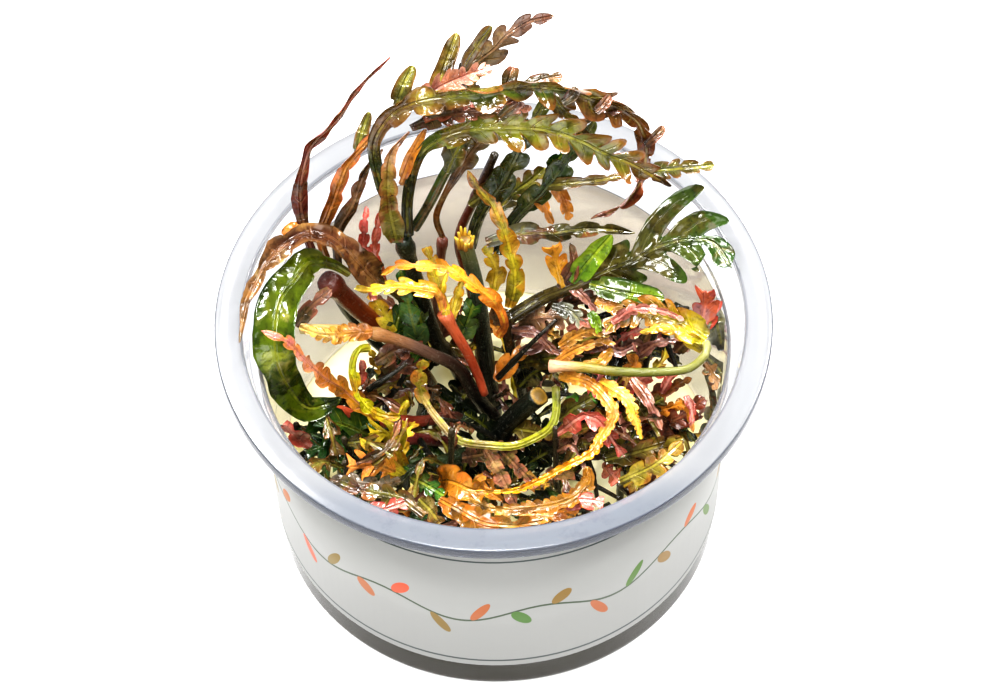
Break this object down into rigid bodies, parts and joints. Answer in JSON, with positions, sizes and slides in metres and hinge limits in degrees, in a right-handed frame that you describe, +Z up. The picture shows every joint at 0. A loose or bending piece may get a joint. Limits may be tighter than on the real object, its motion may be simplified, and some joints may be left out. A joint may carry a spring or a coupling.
{
  "type": "aquarium plant in tissue-culture cup",
  "caption": "Young Hygrophila pinnatifida with lobed olive, brown and yellow leaves, rooted in gel in a lidless clear plastic cup with a plain label.",
  "frame": {"origin": "middle of the cup's foot, on the surface that it stands on", "axes": "+Z up, +Y towards the back, where the long leaves arch over the rim, +X to the right seen from the front"},
  "size_m": [0.1, 0.1, 0.1018],
  "materials": {
    "clear_plastic": "clear moulded plastic, glossy",
    "label_paper": "white paper label, satin",
    "nutrient_gel": "pale translucent agar gel, wet gloss",
    "stem_dark": "black-green living stem, wet gloss",
    "stem_red_brown": "red-brown living stem, satin",
    "stem_salmon": "salmon-red living stem, satin",
    "stem_mauve": "mauve-brown living stem, satin",
    "stem_pale_green": "pale yellow-green stalk, satin",
    "leaf_dark_green": "dark green lobed leaf, wet gloss",
    "leaf_green": "bright green leaf with yellow veins, wet gloss",
    "leaf_olive": "olive leaf with brown lobe tips, wet gloss",
    "leaf_yellow": "yellow leaf with orange edges, satin",
    "leaf_orange": "orange leaf, satin",
    "leaf_pink": "pink and salmon leaf, satin",
    "leaf_brown": "red-brown leaf with tan patches, wet gloss"
  },
  "bodies": {
    "root": {"cup": "clear_plastic", "label": "label_paper", "gel": "nutrient_gel", "stem_cut_centre": "stem_dark", "stem_crown": "stem_dark", "stem_arching": "stem_mauve", "stem_thick_cut": "stem_dark", "stem_green_front": "stem_dark", "stem_mauve_low": "stem_mauve", "stem_red_low": "stem_salmon", "stem_red_brown": "stem_red_brown", "stem_dark_left": "stem_dark", "stem_back": "stem_red_brown", "stem_brown_thin": "stem_mauve", "stem_right_inner": "stem_dark", "stem_maroon": "stem_red_brown", "stem_salmon": "stem_salmon", "stem_pale": "stem_pale_green", "leaf_arch_upper": "leaf_olive", "leaf_arch_lower": "leaf_olive", "leaf_plume": "leaf_brown", "leaf_folded": "leaf_olive", "leaf_left_tall": "leaf_brown", "leaf_left_middle": "leaf_orange", "leaf_left_short": "leaf_brown", "leaf_green_curl": "leaf_green", "leaf_brown_over": "leaf_brown", "leaf_twisted": "leaf_yellow", "leaf_yellow_long": "leaf_yellow", "leaf_yellow_short": "leaf_yellow", "leaf_green_small": "leaf_green", "leaf_orange_fork": "leaf_orange", "leaf_across": "leaf_olive", "leaf_back_left": "leaf_dark_green", "leaf_back_right": "leaf_dark_green", "leaf_right_big": "leaf_dark_green", "leaf_fan": "leaf_yellow", "leaf_pink_fork": "leaf_pink", "leaf_wall_right": "leaf_olive", "leaf_brown_right": "leaf_brown", "leaf_tangle": "leaf_brown", "leaf_pink_feather": "leaf_pink", "leaf_yellow_curl": "leaf_yellow", "leaf_loop": "stem_pale_green", "leaf_green_left": "leaf_dark_green", "leaf_silver": "leaf_brown", "leaf_rim_left": "leaf_olive", "leaf_orange_crumpled": "leaf_orange", "leaf_orange_wide": "leaf_orange", "leaf_frilled": "leaf_orange", "leaf_frilled_small": "leaf_yellow", "leaf_strand": "leaf_orange", "leaf_rosette_left": "leaf_yellow", "leaf_rosette_low": "leaf_orange", "leaf_rosette_spike": "leaf_yellow", "leaf_olive_right": "leaf_olive", "leaf_red_pinnate": "leaf_brown", "leaf_low_fork": "leaf_pink", "leaf_rim_right": "leaf_olive", "leaf_thin_curve": "leaf_brown"}
  },
  "joints": []
}
